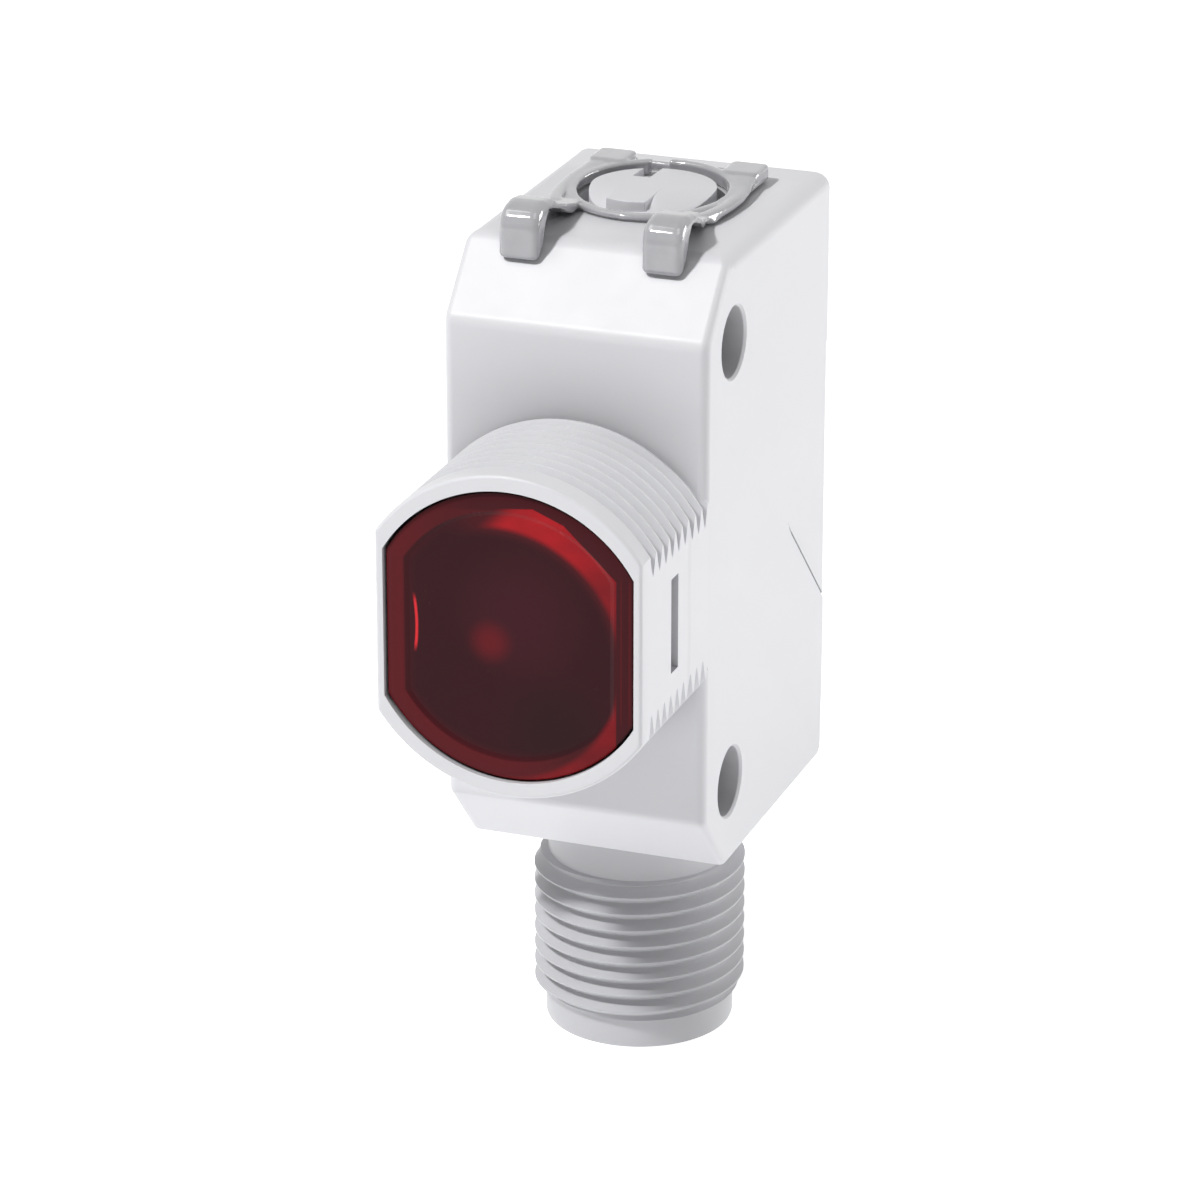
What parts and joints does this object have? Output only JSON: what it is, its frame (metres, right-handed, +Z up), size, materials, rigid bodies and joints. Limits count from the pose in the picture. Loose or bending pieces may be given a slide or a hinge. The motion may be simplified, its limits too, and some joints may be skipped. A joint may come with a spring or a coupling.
{
  "type": "through-beam photoelectric sensor",
  "caption": "Compact through-beam photoelectric sensor with a flatted lens barrel, a domed sensitivity adjuster with a pointer under a clear indicator cover, and a round threaded plug connector.",
  "frame": {"origin": "middle of the +X side mounting face, on the line between its two screw holes and level with the lens axis", "axes": "+Z up, away from the plug connector; +X out of the mounting side; the lens looks along -Y"},
  "size_m": [0.015, 0.0311, 0.0501],
  "materials": {
    "white_moulding": "satin white moulded plastic",
    "pale_moulding": "satin pale grey moulded plastic",
    "red_clear": "polished dark red clear plastic",
    "smoke_clear": "polished smoke grey clear plastic",
    "grey_moulding": "satin grey moulded plastic",
    "black_moulding": "matt black moulded plastic",
    "black_rubber": "matt rubber",
    "board_laminate": "green glass-fibre laminate",
    "chip_package": "matt moulded package",
    "tinned_steel": "tinned sheet steel",
    "gold_plating": "gold-plated brass",
    "polyimide_film": "amber film",
    "green_lamp": "clear green resin",
    "yellow_lamp": "clear yellow resin"
  },
  "bodies": {
    "sensor": {"housing": "white_moulding", "rear_cover": "white_moulding", "lens": "red_clear", "lens_gasket": "black_rubber", "light_baffle": "black_moulding", "photodiode": "chip_package", "shield_can": "tinned_steel", "main_board": "board_laminate", "controller_chip": "chip_package", "output_transistor": "chip_package", "capacitor_a": "tinned_steel", "capacitor_b": "tinned_steel", "indicator_board": "board_laminate", "power_lamp": "green_lamp", "signal_lamp": "yellow_lamp", "board_header": "black_moulding", "trimmer_body": "black_moulding", "indicator_cover": "smoke_clear", "connector_shell": "pale_moulding", "connector_seal": "black_rubber", "contact_carrier": "black_moulding", "contact_pin_1": "gold_plating", "contact_pin_2": "gold_plating", "contact_pin_3": "gold_plating", "contact_pin_4": "gold_plating", "connector_board": "board_laminate", "board_link": "polyimide_film"},
    "adjuster": {"adjuster": "grey_moulding", "adjuster_o_ring": "black_rubber", "adjuster_clip": "tinned_steel", "trimmer_rotor": "white_moulding"}
  },
  "joints": [
    {"name": "adjuster_turn", "type": "hinge", "parent": "sensor", "child": "adjuster", "pos_m": [-0.0075, 0.00805, 0.0176], "axis": [0, 0, 1], "range_deg": [-135, 135]}
  ]
}
